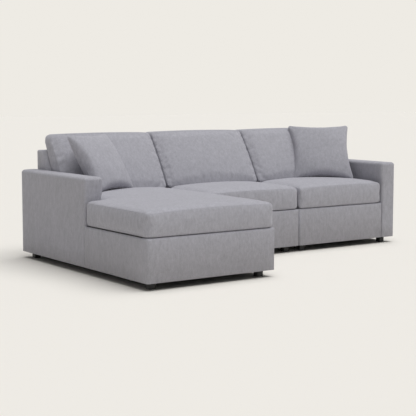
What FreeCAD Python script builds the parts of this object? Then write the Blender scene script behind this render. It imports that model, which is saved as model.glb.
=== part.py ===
"""A three-seat sectional sofa with a left-hand chaise, in millimetres.

Three upholstered modules stand side by side: a chaise module with the left arm, an armless middle
module and a right module with the right arm. Hook and keeper brackets under the side boards hold
the modules together. Each module is a timber frame with interlaced webbing, a felt deck pad, a
fitted cover, a dust cover and four feet. The seat cushions, back cushions and pillows lie loose.

Origin: on the floor, under the middle of the whole sofa. +X runs to the right along the length,
the chaise points to -Y, +Z is up.
"""

import FreeCAD, Part
import math
import os
import re

import Sketcher

V = FreeCAD.Vector

# Driving sizes. Every one stands for itself; what follows from them is in DERIVED.
SIZES = {
    # the whole sofa
    "seat_width": 815,
    "arm_width": 130,
    "sofa_depth": 920,
    "chaise_projection": 750,
    "arm_height": 615,
    "back_height": 750,
    "back_top_depth": 140,
    "back_foot_depth": 280,
    "base_height": 265,
    "foot_height": 45,
    "module_gap": 4,
    # fits: pieces that meet in one module, and soft pieces that lie on each other
    "fit": 0.3,
    "soft_gap": 0.7,
    # covers: padding and cloth together
    "cover_thickness": 8,
    "cover_radius": 12,
    "arm_radius": 16,
    "front_border": 70,
    "dust_thickness": 1,
    "dust_inset": 10,
    # timber
    "board": 22,
    "low_joist_drop": 60,
    "block_size": 90,
    "block_height": 50,
    "rib_thickness": 18,
    "slat_width": 80,
    "slat_thickness": 12,
    "slat_count": 3,
    "back_rail_width": 90,
    "arm_rail": 50,
    "arm_top_rail": 30,
    "arm_post": 60,
    "deck_rail_lead": 6,
    # webbing
    "strap_width": 75,
    "strap_thickness": 2,
    "strap_clear": 0.3,
    "strap_pitch": 185,
    "strap_hold": 12,
    # feet
    "foot_size": 45,
    "foot_chamfer": 3,
    "foot_side_inset": 50,
    "foot_end_inset": 57,
    "stud_diameter": 8,
    "stud_length": 30,
    # bolts
    "bolt_diameter": 8,
    "bolt_head_across": 13,
    "bolt_head_height": 5,
    "arm_bolt_length": 70,
    "bracket_bolt_length": 30,
    "arm_bolt_low": 130,
    "arm_bolt_high": 230,
    # hook and keeper brackets
    "bracket_plate": 3,
    "bracket_width": 60,
    "bracket_inset": 150,
    "bracket_flange": 35,
    "bracket_bolt_spread": 36,
    "hook_drop": 28,
    "hook_reach": 60,
    "tongue_height": 22,
    "tongue_width": 40,
    "keeper_drop": 16,
    "keeper_reach": 78,
    # seat cushions
    "seat_edge_height": 158,
    "seat_crown_across": 9,
    "seat_crown_along": 11,
    "seat_side_gap": 2,
    "seat_draw": 4,
    "seat_ear_fall": 4,
    "seat_corner_radius": 36,
    "seat_edge_radius": 27,
    "seat_lower_radius": 8,
    "seat_wrap": 20,
    # back cushions
    "back_cushion_top": 868,
    "back_cushion_foot_depth": 178,
    "back_cushion_top_depth": 132,
    "back_cushion_end_recess": 46,
    "back_cushion_bulge": 24,
    "back_cushion_crown": 7,
    "back_cushion_top_swell": 4,
    "back_foot_lift": 2,
    "back_cushion_corner_radius": 50,
    "back_cushion_front_radius": 34,
    "back_cushion_rear_radius": 16,
    "back_cushion_wrap": 22,
    # pillows: size is corner to corner along one side
    "pillow_size": 466,
    "pillow_draw": 17,
    "pillow_thickness": 142,
    "pillow_edge": 7,
    "pillow_wrap": 25,
    "left_pillow_x": 385,
    "left_pillow_y": 452,
    "left_pillow_turn": 26,
    "right_pillow_x": 370,
    "right_pillow_y": 440,
    "right_pillow_turn": -29,
    "pillow_centre_height": 686,
    "pillow_lean": 32,
}

# Sizes that follow from the driving ones.
DERIVED = {
    "half_width": "arm_width + 1.5 * seat_width",
    "half_depth": "(sofa_depth + chaise_projection) / 2",
    "front_line": "half_depth - sofa_depth",
    "base_top": "foot_height + base_height",
    "frame_top": "base_top - cover_thickness - strap_thickness - fit",
    "seat_level": "base_top + seat_edge_height",
    "foot_block": "foot_height - dust_thickness",
    "side_wall": "cover_thickness + board",
    "back_slope": "(back_foot_depth - back_top_depth) / (back_height - seat_level)",
    "module_face": "module_gap / 2",
    "plain_width": "seat_width - module_gap",
    "end_width": "seat_width - module_gap / 2 - fit",
}

doc = FreeCAD.newDocument("SectionalSofa")
sheet = doc.addObject("Spreadsheet::Sheet", "Sizes")
for row, (alias, size) in enumerate(list(SIZES.items()) + list(DERIVED.items()), start=1):
    sheet.set(f"A{row}", alias)
    sheet.set(f"B{row}", f"={size}" if isinstance(size, str) else str(size))
    sheet.setAlias(f"B{row}", alias)
doc.recompute()

WORDS = re.compile(r"\b(?:%s)\b" % "|".join([*SIZES, *DERIVED]))
nodes = []


def tied(text):
    """The same sum, written for an object outside the sheet."""
    return WORDS.sub(lambda word: "Sizes." + word.group(0), text)


def size(text):
    """The value of a sum of sheet sizes."""
    return float(sheet.evalExpression(text))


def name_it(thing, label):
    """Keep an object as a piece of the sofa, under the name of its file."""
    thing.Label = label
    nodes.append(thing)
    return thing


def place(thing, x="0", y="0", z="0"):
    """Tie an object's position to the sheet."""
    for axis, text in zip("xyz", (x, y, z)):
        thing.setExpression(f".Placement.Base.{axis}", tied(text))
    return thing


def board(name, x, y, z, length, width, height):
    """A plain board, block or sheet."""
    box = doc.addObject("Part::Box", name)
    for key, text in (("Length", length), ("Width", width), ("Height", height)):
        box.setExpression(key, tied(text))
    return place(box, x, y, z)


def rod(name, x, y, z, diameter, length, axis="z"):
    """A bar along X or Z, eight-sided because there are so many of them."""
    bar = doc.addObject("Part::Prism", name)
    bar.Polygon = 8
    bar.setExpression("Circumradius", tied(f"({diameter}) / 2"))
    bar.setExpression("Height", tied(length))
    if axis == "x":
        bar.Placement.Rotation = FreeCAD.Rotation(V(0, 1, 0), 90)
    return place(bar, x, y, z)


def copy_of(thing, name, x="0", y="0", z="0", turn=None):
    """A second one of a piece that is made once."""
    link = doc.addObject("App::Link", name)
    link.LinkedObject = thing
    if turn:
        link.Placement.Rotation = turn
    return place(link, x, y, z)


def group(name, things):
    """Alike pieces that share a node, each a solid of its own."""
    together = doc.addObject("Part::Compound", name)
    together.Links = things
    return together


def drilled(name, thing, rods):
    """A piece with the holes that its bolts and studs pass through."""
    cut = doc.addObject("Part::Cut", name)
    cut.Base = thing
    cut.Tool = group(name + "_drill", rods)
    return cut


def outline(body, name, plane, corners, height="0"):
    """A closed outline on one of the body's planes, each corner tied to the sheet."""
    sketch = body.newObject("Sketcher::SketchObject", name)
    for feature in body.Origin.OriginFeatures:
        if feature.Role == plane:
            sketch.AttachmentSupport = [(feature, "")]
    sketch.MapMode = "FlatFace"
    sketch.setExpression(".AttachmentOffset.Base.z", tied(height))
    points = [V(size(u), size(v), 0) for u, v in corners]
    count = len(points)
    for index, point in enumerate(points):
        sketch.addGeometry(Part.LineSegment(point, points[(index + 1) % count]))
    for index in range(count):
        sketch.addConstraint(Sketcher.Constraint("Coincident", index, 2, (index + 1) % count, 1))
    for index, corner in enumerate(corners):
        for kind, text in zip(("DistanceX", "DistanceY"), corner):
            number = sketch.addConstraint(Sketcher.Constraint(kind, -1, 1, index, 1, size(text)))
            sketch.setExpression(f"Constraints[{number}]", tied(text))
    return sketch


def pad(body, name, sketch, length):
    """Material added along the sketch's normal."""
    feature = body.newObject("PartDesign::Pad", name)
    feature.Profile = sketch
    feature.setExpression("Length", tied(length))
    sketch.Visibility = False
    return feature


def pocket(body, name, sketch, depth):
    """Material taken away against the sketch's normal; it has to make the body smaller."""
    doc.recompute()
    before = body.Shape.Volume
    feature = body.newObject("PartDesign::Pocket", name)
    feature.Profile = sketch
    feature.setExpression("Length", tied(depth))
    doc.recompute()
    if body.Shape.Volume >= before:
        raise ValueError(f"{name} cuts nothing")
    return feature


def rounded(body, name, radius, chosen):
    """Round the edges of the body's last feature that the test picks by their bounding box."""
    doc.recompute()
    base = body.Tip
    picked = [f"Edge{i}" for i, edge in enumerate(base.Shape.Edges, 1) if chosen(edge.BoundBox)]
    feature = body.newObject("PartDesign::Fillet", name)
    feature.Base = (base, picked)
    feature.setExpression("Radius", tied(radius))
    return feature


def near(value, text):
    """Whether a coordinate of the drawn shape is the one that a sum of sizes gives."""
    return abs(value - size(text)) < 0.01


# The modules, each by the X of its two faces, the width between them and the Y of its front.
MODULES = {
    "chaise": ("arm_width - half_width + fit", "end_width", "-half_depth"),
    "middle": ("arm_width + seat_width - half_width + module_face", "plain_width", "front_line"),
    "right": ("half_width - arm_width - seat_width + module_face", "end_width", "front_line"),
}
ARMS = {"chaise": "-half_width", "right": "half_width - arm_width"}
REAR = "half_depth"


def depth_of(front):
    """From a module's front to the sofa's back."""
    return f"(half_depth - ({front}))"


# A foot is a square block with its corners taken off and a threaded stud moulded in.
def make_foot():
    body = doc.addObject("PartDesign::Body", "Foot")
    half = "foot_size / 2"
    square = [(f"-{half}", f"-{half}"), (half, f"-{half}"), (half, half), (f"-{half}", half)]
    block = pad(body, "FootBlock", outline(body, "FootOutline", "XY_Plane", square), "foot_block")
    doc.recompute()
    upright = [f"Edge{i}" for i, edge in enumerate(block.Shape.Edges, 1) if edge.BoundBox.ZLength > 1]
    corners = body.newObject("PartDesign::Chamfer", "FootCorners")
    corners.Base = (block, upright)
    corners.setExpression("Size", tied("foot_chamfer"))
    doc.recompute()
    stud = rod("FootStud", "0", "0", "foot_block", "stud_diameter", "stud_length")
    foot = doc.addObject("Part::Fuse", "FootWithStud")
    foot.Base = body
    foot.Tool = stud
    return foot


def foot_places(module):
    """Where a module's four feet stand; under an arm they stand under the arm's own frame."""
    x, width, front = MODULES[module]
    inset = "foot_side_inset + foot_size / 2"
    left = f"{x} + {inset}"
    right = f"{x} + {width} - ({inset})"
    if module == "chaise":
        left = f"-half_width + {inset}"
    if module == "right":
        right = f"half_width - ({inset})"
    ahead = f"{front} + foot_end_inset + foot_size / 2"
    behind = f"{REAR} - foot_end_inset - foot_size / 2"
    return [(left, ahead), (right, ahead), (left, behind), (right, behind)]


def stud_holes(module):
    """Holes for the studs of a module's feet."""
    return [
        rod(f"{module}_stud_hole{i}", x, y, "foot_block", "stud_diameter + 2 * fit",
            "stud_length + dust_thickness")
        for i, (x, y) in enumerate(foot_places(module))
    ]


def make_feet(module, foot):
    links = [
        copy_of(foot, f"{module}_foot{i}", x, y) for i, (x, y) in enumerate(foot_places(module))
    ]
    return name_it(group(f"{module}_feet_set", links), f"{module}_feet")


# Bolts: a hexagon head and a plain shank, head at the start, shank along +Z.
def make_bolt(name, length):
    head = doc.addObject("Part::Prism", name + "Head")
    head.Polygon = 6
    head.setExpression("Circumradius", tied("bolt_head_across / 2 / cos(30)"))
    head.setExpression("Height", tied("bolt_head_height"))
    shank = rod(name + "Shank", "0", "0", "bolt_head_height", "bolt_diameter", length)
    bolt = doc.addObject("Part::Fuse", name)
    bolt.Base = head
    bolt.Tool = shank
    return bolt


def arm_bolt_places(module):
    """The Y and Z of the bolts between a module and its arm, at the arm's front and rear posts."""
    front = "front_line + cover_thickness + fit + arm_post / 2"
    rear = f"{REAR} - cover_thickness - fit - arm_post / 2"
    return [(y, z) for y in (front, rear) for z in ("arm_bolt_low", "arm_bolt_high")]


def arm_bolt_holes(module):
    """Holes through the side board, the arm's cover and into the arm's posts."""
    x, width, _ = MODULES[module]
    start = f"{x} + board" if module == "chaise" else f"{x} + {width} - board"
    if module == "chaise":
        start = f"{start} - arm_bolt_length"
    return [
        rod(f"{module}_arm_hole{i}", start, y, z, "bolt_diameter + 2 * fit", "arm_bolt_length", "x")
        for i, (y, z) in enumerate(arm_bolt_places(module))
    ]


def joint_sides(module):
    """The joints at a module's sides: the X of the joint's middle and the way out of the module."""
    chaise_joint = "arm_width + seat_width - half_width"
    right_joint = "half_width - arm_width - seat_width"
    return {
        "chaise": [(chaise_joint, 1)],
        "middle": [(chaise_joint, -1), (right_joint, 1)],
        "right": [(right_joint, -1)],
    }[module]


BRACKET_ROWS = ("front_line + bracket_inset", f"{REAR} - bracket_inset")
BOLT_LINE = "module_face + side_wall - board / 2"


def bracket_bolt_places(module):
    """The X and Y of the bolts that hold a module's brackets to its side boards."""
    spots = []
    for joint, out in joint_sides(module):
        x = f"{joint} - ({BOLT_LINE})" if out > 0 else f"{joint} + {BOLT_LINE}"
        for row in BRACKET_ROWS:
            spots.append((x, f"{row} - bracket_bolt_spread / 2"))
            spots.append((x, f"{row} + bracket_bolt_spread / 2"))
    return spots


def bracket_bolt_holes(module):
    return [
        rod(f"{module}_bracket_hole{i}", x, y, "foot_block - bracket_plate",
            "bolt_diameter + 2 * fit", "bracket_plate + bracket_bolt_length + dust_thickness")
        for i, (x, y) in enumerate(bracket_bolt_places(module))
    ]


def make_bolts(module, arm_bolt, bracket_bolt):
    """All bolts of one module: four into its arm, two for each bracket."""
    links = []
    x, width, _ = MODULES[module]
    if module in ARMS:
        inside = f"{x} + board + bolt_head_height"
        turn = FreeCAD.Rotation(V(0, 1, 0), -90)
        if module == "right":
            inside = f"{x} + {width} - board - bolt_head_height"
            turn = FreeCAD.Rotation(V(0, 1, 0), 90)
        for i, (y, z) in enumerate(arm_bolt_places(module)):
            links.append(copy_of(arm_bolt, f"{module}_arm_bolt{i}", inside, y, z, turn))
    under = "foot_block - bracket_plate - bolt_head_height"
    for i, (at, y) in enumerate(bracket_bolt_places(module)):
        links.append(copy_of(bracket_bolt, f"{module}_bracket_bolt{i}", at, y, under))
    return name_it(group(f"{module}_bolt_set", links), f"{module}_bolts")


# Brackets: bent plates, drawn from the side with +X pointing out of the module that holds them.
def plate_body(name, corners, bolt_x):
    """A bent plate with its two bolt holes, centred on Y = 0."""
    body = doc.addObject("PartDesign::Body", name)
    profile = outline(body, name + "Side", "XZ_Plane", corners, "-bracket_width / 2")
    pad(body, name + "Bend", profile, "bracket_width")
    doc.recompute()
    rods = [
        rod(f"{name}Hole{i}", bolt_x, y, "-keeper_drop", "bolt_diameter + 2 * fit", "keeper_drop")
        for i, y in enumerate(("-bracket_bolt_spread / 2", "bracket_bolt_spread / 2"))
    ]
    return drilled(name + "Drilled", body, rods)


def make_hook():
    """A flange under the side board, a step down, and a reach that ends in an upright tongue."""
    edge = "module_face + fit"
    flange = f"-({edge}) - bracket_flange"
    low = "-hook_drop"
    return plate_body("Hook", [
        (flange, "-bracket_plate"),
        (f"-({edge}) - bracket_plate", "-bracket_plate"),
        (f"-({edge}) - bracket_plate", f"{low} - bracket_plate"),
        ("hook_reach + bracket_plate", f"{low} - bracket_plate"),
        ("hook_reach + bracket_plate", f"{low} - bracket_plate + tongue_height"),
        ("hook_reach", f"{low} - bracket_plate + tongue_height"),
        ("hook_reach", low),
        (f"-({edge})", low),
        (f"-({edge})", "0"),
        (flange, "0"),
    ], f"-({BOLT_LINE})")


def make_keeper():
    """A flange, a step down, and a plate with the slot that drops over the tongue."""
    edge = "module_face + fit"
    low = "-keeper_drop"
    blank = plate_body("Keeper", [
        (edge, "-bracket_plate"),
        (edge, "0"),
        (f"{edge} + bracket_flange", "0"),
        (f"{edge} + bracket_flange", f"{low} + bracket_plate"),
        ("keeper_reach", f"{low} + bracket_plate"),
        ("keeper_reach", low),
        (f"{edge} + bracket_flange - bracket_plate", low),
        (f"{edge} + bracket_flange - bracket_plate", "-bracket_plate"),
    ], BOLT_LINE)
    slot = board("KeeperSlot", "hook_reach - fit", "-tongue_width / 2 - fit", "-keeper_drop * 2",
                 "bracket_plate + 2 * fit", "tongue_width + 2 * fit", "keeper_drop * 2 - fit")
    return drilled("KeeperSlotted", blank, [slot])


def trim_tongue(hook):
    """The tongue is narrower than its plate."""
    trims = []
    for i, y in enumerate(("-bracket_width / 2", "tongue_width / 2")):
        trims.append(board(f"TongueTrim{i}", "hook_reach", y, "-hook_drop",
                           "bracket_plate", "(bracket_width - tongue_width) / 2",
                           "tongue_height - bracket_plate"))
    return drilled("HookTrimmed", hook, trims)


def make_brackets(module, bracket, label):
    """A module's brackets; the ones that point to -X are turned round."""
    links = []
    for joint, out in joint_sides(module):
        turned = out < 0 if module == "middle" else out > 0
        turn = FreeCAD.Rotation(V(0, 0, 1), 180) if turned else None
        for row in BRACKET_ROWS:
            links.append(copy_of(bracket, f"{label}{len(links)}", joint, row, "foot_block", turn))
    return name_it(group(label + "_set", links), label)


# The timber of a base: boards across it, boards from front to back, blocks over the feet.
def make_end_rails(module):
    x, width, front = MODULES[module]
    left, wide = f"{x} + side_wall", f"{width} - 2 * side_wall"
    if module == "chaise":
        left, wide = f"{x} + board", f"{width} - board - side_wall"
    if module == "right":
        wide = f"{width} - board - side_wall"
    rise = "frame_top - foot_height"
    rails = []
    deck = f"{REAR} - back_foot_depth - deck_rail_lead"
    rows = [("front", f"{front} + cover_thickness"), ("deck", deck), ("rear", f"{REAR} - side_wall")]
    for name, y in rows:
        at, across = left, wide
        if module == "chaise" and name == "front":
            at = "-half_width + side_wall"
            across = f"{x} + {width} - side_wall - ({at})"
        rails.append(board(f"{module}_{name}_board", at, y, "foot_height", across, "board", rise))
    if module == "chaise":
        rails.append(board("chaise_return_board", "-half_width + side_wall",
                           "front_line - fit - side_wall", "foot_height",
                           "arm_width + fit - side_wall", "board", rise))
    return name_it(group(f"{module}_end_rail_set", rails), f"{module}_end_rails")


def make_joists(module, holes):
    x, width, front = MODULES[module]
    rise = "frame_top - foot_height"
    start = f"{front} + side_wall"
    run = f"{REAR} - side_wall - ({start})"
    left = x if module == "chaise" else f"{x} + cover_thickness"
    right = f"{x} + {width} - side_wall" if module != "right" else f"{x} + {width} - board"
    first = start if module != "chaise" else "front_line - fit - side_wall"
    boards = [
        board(f"{module}_left_board", left, first, "foot_height", "board",
              f"{REAR} - side_wall - ({first})", rise),
        board(f"{module}_right_board", right, start, "foot_height", "board", run, rise),
        board(f"{module}_low_joist", f"{x} + {width} / 2 - board / 2", start, "foot_height",
              "board", f"{REAR} - back_foot_depth - deck_rail_lead - ({start})",
              f"{rise} - low_joist_drop"),
    ]
    if module == "chaise":
        boards.append(board("chaise_ear_board", "-half_width + cover_thickness", start,
                            "foot_height", "board", f"front_line - fit - cover_thickness - ({start})",
                            rise))
    return name_it(drilled(f"{module}_joist_set", group(f"{module}_joist_boards", boards), holes),
                   f"{module}_joists")


def make_corner_blocks(module, holes):
    """A block over each foot that stands under the base itself."""
    x, width, front = MODULES[module]
    left = f"{x} + side_wall" if module != "chaise" else "-half_width + side_wall"
    right = f"{x} + {width} - side_wall - block_size"
    ahead = f"{front} + side_wall"
    behind = f"{REAR} - side_wall - block_size"
    spots = [(left, ahead), (right, ahead), (left, behind), (right, behind)]
    if module == "chaise":
        spots.pop(2)
    if module == "right":
        spots = [(left, ahead), (left, behind)]
    blocks = [
        board(f"{module}_block{i}", at, y, "foot_height", "block_size", "block_size", "block_height")
        for i, (at, y) in enumerate(spots)
    ]
    return name_it(drilled(f"{module}_block_set", group(f"{module}_blocks", blocks), holes),
                   f"{module}_corner_blocks")


# Webbing: flat straps that pass over and under each other, their ends held on the boards.
def strap(run, crossings, first_over):
    """One strap along +X from 0 to run, 0 at mid thickness; it starts and ends at the low level."""
    half, thick = size("strap_width / 2"), size("strap_thickness")
    low = -(thick + size("strap_clear")) / 2
    margin = size("strap_hold / 2")
    knots = [(0, low)]
    for number, middle in enumerate(crossings):
        if (number % 2 == 0) == first_over:
            for way in (-1, 1):
                knots.append((middle + way * (half + margin), -low))
                knots.append((middle + way * (half + 2 * margin), low))
    knots = sorted(knots) + [(run, low)]
    above = [V(at, -half, level + thick / 2) for at, level in knots]
    below = [V(at, -half, level - thick / 2) for at, level in reversed(knots)]
    side = Part.Face(Part.makePolygon(above + below + above[:1]))
    return side.extrude(V(0, 2 * half, 0))


def spread(start, stop):
    """Middles of the straps between two boards, at the strap pitch and half of it clear of both."""
    pitch = size("strap_pitch")
    count = max(1, int((stop - start) // pitch))
    first = (start + stop - (count - 1) * pitch) / 2
    return [first + number * pitch for number in range(count)]


def make_webbing(module):
    x, width, front = (size(text) for text in MODULES[module])
    hold, wall, ply = size("strap_hold"), size("side_wall"), size("board")
    level = size("frame_top + strap_thickness + strap_clear / 2")
    left = x + (ply if module == "chaise" else wall)
    right = x + width - (ply if module == "right" else wall)
    ahead = front + wall
    behind = size(f"{REAR} - back_foot_depth - deck_rail_lead")
    ear_left = size("-half_width + side_wall")
    ear_stop = size("front_line - fit - side_wall")
    columns, rows = spread(left, right), spread(ahead, behind)
    straps = []

    def lay(start, stop, at, crossed, over, lengthwise):
        piece = strap(stop - start + 2 * hold, [c - start + hold for c in crossed], over)
        if lengthwise:
            piece.rotate(V(), V(0, 0, 1), 90)
            piece.translate(V(at, start - hold, level))
        else:
            piece.translate(V(start - hold, at, level))
        straps.append(piece)

    def long_rows(at):
        return module == "chaise" and at + size("strap_width / 2") < ear_stop

    ear_columns = spread(ear_left, left - ply) if module == "chaise" else []
    for number, at in enumerate(ear_columns):
        lay(ahead, ear_stop, at, [row for row in rows if long_rows(row)], number % 2 == 0, True)
    for number, at in enumerate(columns, start=len(ear_columns)):
        lay(ahead, behind, at, rows, number % 2 == 0, True)
    for number, at in enumerate(rows):
        reach = long_rows(at)
        crossed = (ear_columns if reach else []) + columns
        over = (number % 2 == 1) == (reach or len(ear_columns) % 2 == 0)
        lay(ear_left if reach else left, right, at, crossed, over, False)
    web = doc.addObject("Part::Feature", f"{module}_strap_set")
    web.Shape = Part.makeCompound(straps)
    return name_it(web, f"{module}_webbing")


# Covers. Each is drawn from its own left front corner at the height of the frame's underside.
def make_base_cover(module):
    x, width, front = MODULES[module]
    depth = f"({depth_of(front)} - cover_thickness)"
    t = "cover_thickness"
    past = f"{depth} + {t}"
    if module == "chaise":
        step, notch = "arm_width + fit", "chaise_projection - fit"
        whole = f"({width} + arm_width + fit)"
        edge = [("0", "0"), (whole, "0"), (whole, depth), (step, depth), (step, notch), ("0", notch)]
        hollow = [(t, t), (f"{whole} - {t}", t), (f"{whole} - {t}", past),
                  (f"{step} - {t}", past), (f"{step} - {t}", notch), (step, notch),
                  (step, f"{notch} - {t}"), (t, f"{notch} - {t}")]
        deck = [(t, "front_border"), (f"{whole} - {t}", "front_border")] + hollow[2:]
        origin = "-half_width"
    else:
        whole = width
        side = f"{width} - {t}" if module == "middle" else f"{width} + {t}"
        edge = [("0", "0"), (whole, "0"), (whole, depth), ("0", depth)]
        hollow = [(t, t), (side, t), (side, past), (t, past)]
        deck = [(t, "front_border"), (side, "front_border"), (side, past), (t, past)]
        origin = x
    body = doc.addObject("PartDesign::Body", f"{module}_base_shell")
    pad(body, f"{module}_base_block", outline(body, f"{module}_base_edge", "XY_Plane", edge),
        "base_height")
    rounded(body, f"{module}_base_round", "cover_radius", lambda box: (
        near(box.YMin, "0") and near(box.YMax, "0") and box.ZLength > 1 and box.XLength < 0.01)
        or (near(box.ZMin, "base_height") and near(box.YMax, "0"))
        or (module == "chaise" and near(box.ZMin, "base_height") and near(box.XMax, "0")))
    pocket(body, f"{module}_base_hollow",
           outline(body, f"{module}_base_inside", "XY_Plane", hollow, f"base_height - {t}"),
           "base_height")
    pocket(body, f"{module}_base_opening",
           outline(body, f"{module}_deck_edge", "XY_Plane", deck, "base_height"),
           f"2 * {t}")
    return name_it(place(body, origin, front, "foot_height"), f"{module}_base_cover")


def make_deck_pad(module):
    """The felt pad over the webbing, flush with the cover's border."""
    x, width, front = MODULES[module]
    depth = depth_of(front)
    gap = "fit"
    left, right = f"cover_thickness + {gap}", f"{width} - cover_thickness - {gap}"
    back = f"{depth} - back_foot_depth + cover_thickness"
    body = doc.addObject("PartDesign::Body", f"{module}_felt")
    if module == "chaise":
        step, notch = "arm_width + 2 * fit", f"chaise_projection - cover_thickness - 2 * {gap}"
        right = f"{width} + arm_width - cover_thickness"
        edge = [(left, f"front_border + {gap}"), (right, f"front_border + {gap}"), (right, back),
                (step, back), (step, notch), (left, notch)]
        origin = "-half_width"
    else:
        if module == "right":
            right = f"{width} - {gap}"
        edge = [(left, f"front_border + {gap}"), (right, f"front_border + {gap}"), (right, back),
                (left, back)]
        origin = x
    pad(body, f"{module}_felt_pad", outline(body, f"{module}_felt_edge", "XY_Plane", edge),
        "base_top - frame_top - 2 * strap_thickness - strap_clear - fit")
    height = "frame_top + 2 * strap_thickness + strap_clear + fit"
    return name_it(place(body, origin, front, height), f"{module}_deck_pad")


def make_dust_cover(module, holes):
    """Thin black cloth stapled under the whole module, the arm included."""
    x, width, front = MODULES[module]
    left, right = f"{x} + dust_inset", f"{x} + {width} - dust_inset"
    if module == "chaise":
        left = "-half_width + dust_inset"
    if module == "right":
        right = "half_width - dust_inset"
    cloth = board(f"{module}_dust_cloth", left, f"{front} + dust_inset", "foot_block",
                  f"{right} - ({left})", f"{depth_of(front)} - 2 * dust_inset", "dust_thickness")
    return name_it(drilled(f"{module}_dust_holes", cloth, holes), f"{module}_dust_cover")


# The back: ribs stand on the base, boards tie them, slats carry the slope, one cover over all.
SLOPE_FALL = "sqrt(1 + back_slope ^ 2)"


def slope_y(height, inset):
    """How far a point of the sloping inside back lies from the module's rear, by its depth."""
    return f"(({height} - seat_level) * back_slope + ({inset}) * {SLOPE_FALL} - back_foot_depth)"


def make_rib():
    inset = "cover_thickness + fit + slat_thickness"
    foot = "-back_foot_depth + cover_thickness + fit"
    knee = f"(seat_level - (({inset}) * {SLOPE_FALL} - cover_thickness - fit) / back_slope)"
    top = "(back_height - cover_thickness - fit - board)"
    rear = "-side_wall - fit"
    body = doc.addObject("PartDesign::Body", "Rib")
    profile = outline(body, "RibSide", "YZ_Plane", [
        (foot, "frame_top"), (rear, "frame_top"), (rear, top),
        (slope_y(top, inset), top), (foot, knee),
    ])
    pad(body, "RibPlate", profile, "rib_thickness")
    return body


def back_faces(module):
    """The X of the inside of a back cover's two end panels."""
    x, width, _ = MODULES[module]
    return f"{x} + cover_thickness + fit", f"{x} + {width} - cover_thickness - fit"


def make_ribs(module, rib):
    left, right = back_faces(module)
    spots = [left, f"(({left}) + ({right}) - rib_thickness) / 2", f"{right} - rib_thickness"]
    links = [copy_of(rib, f"{module}_rib{i}", at, REAR) for i, at in enumerate(spots)]
    return name_it(group(f"{module}_rib_set", links), f"{module}_back_ribs")


def make_back_rails(module):
    left, right = back_faces(module)
    run = f"({right}) - ({left})"
    top = "back_height - cover_thickness - fit - board"
    ledge = slope_y(f"({top} + board)", "cover_thickness + fit")
    rear = f"{REAR} - side_wall - fit"
    rails = [
        board(f"{module}_cap_board", left, f"{REAR} + {ledge}", top, run,
              f"-{ledge} - cover_thickness - fit", "board"),
        board(f"{module}_upper_board", left, rear, f"{top} - back_rail_width", run, "board",
              "back_rail_width"),
        board(f"{module}_lower_board", left, rear, "frame_top", run, "board", "back_rail_width"),
    ]
    rails += slats(module)
    return name_it(group(f"{module}_back_rail_set", rails), f"{module}_back_rails")


def slats(module):
    """Boards that lie on the ribs' slope, under the cover."""
    left, right = back_faces(module)
    count = int(size("slat_count"))
    boards = []
    for number in range(count):
        share = f"{number} / {max(count - 1, 1)}"
        low = "seat_level + fit"
        high = "back_height - cover_thickness - board - slat_width"
        at = f"({low} + ({high} - ({low})) * {share})"
        slat = board(f"{module}_slat{number}", left, f"{REAR} + {slope_y(at, 'cover_thickness + fit')}",
                     at, f"({right}) - ({left})", "slat_thickness", "slat_width")
        slat.Placement.Rotation.Axis = V(1, 0, 0)
        slat.setExpression(".Placement.Rotation.Angle", tied("-atan(back_slope)"))
        boards.append(slat)
    return boards


def make_back_cover(module):
    """One sewn shell: the sloping inside back, the top, both ends and the outside back panel."""
    x, width, _ = MODULES[module]
    t = "cover_thickness"
    slope_top = slope_y(f"(back_height - {t})", t)
    knee = f"(seat_level - ({t} * {SLOPE_FALL} - {t}) / back_slope)"
    body = doc.addObject("PartDesign::Body", f"{module}_back_shell")
    skin = [("-back_foot_depth", "base_top"), (f"-{t}", "base_top"), (f"-{t}", "foot_height"),
            ("0", "foot_height"), ("0", "back_height"), ("-back_top_depth", "back_height"),
            ("-back_foot_depth", "seat_level")]
    pad(body, f"{module}_back_block", outline(body, f"{module}_back_side", "YZ_Plane", skin), width)
    rounded(body, f"{module}_back_round", "cover_radius", lambda box: (
        near(box.YMax, "-back_foot_depth") and near(box.ZMax, "seat_level") and box.XLength > 1)
        or (near(box.ZMax, "back_height") and box.ZLength < 0.01 and box.XLength > 1)
        or (near(box.ZMax, "back_height") and box.XLength < 0.01))
    inside = [(f"{t} - back_foot_depth", f"base_top - {t}"), (f"-{t}", f"base_top - {t}"),
              (f"-{t}", f"back_height - {t}"), (slope_top, f"back_height - {t}"),
              (f"{t} - back_foot_depth", knee)]
    pocket(body, f"{module}_back_hollow",
           outline(body, f"{module}_back_inside", "YZ_Plane", inside, f"{width} - {t}"),
           f"{width} - 2 * {t}")
    return name_it(place(body, x, REAR, "0"), f"{module}_back_cover")


# Arms: a timber frame inside a closed cover that is open underneath.
def make_arm_frame(module, side, holes):
    x = ARMS[module]
    left, wide = f"{x} + cover_thickness + fit", "arm_width - 2 * (cover_thickness + fit)"
    front = "front_line + cover_thickness + fit"
    run = "sofa_depth - 2 * (cover_thickness + fit)"
    top = "arm_height - cover_thickness - fit - arm_top_rail"
    post = f"{top} - foot_height - arm_rail"
    pieces = [
        board(f"{side}_arm_foot_rail", left, front, "foot_height", wide, run, "arm_rail"),
        board(f"{side}_arm_top_board", left, front, top, wide, run, "arm_top_rail"),
    ]
    for number, share in enumerate(("0", "0.5", "1")):
        pieces.append(board(f"{side}_arm_post{number}", left,
                            f"{front} + ({run} - arm_post) * {share}",
                            "foot_height + arm_rail", wide, "arm_post", post))
    frame = group(f"{side}_arm_boards", pieces)
    return name_it(drilled(f"{side}_arm_drilled", frame, holes), f"{side}_arm_frame")


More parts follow.
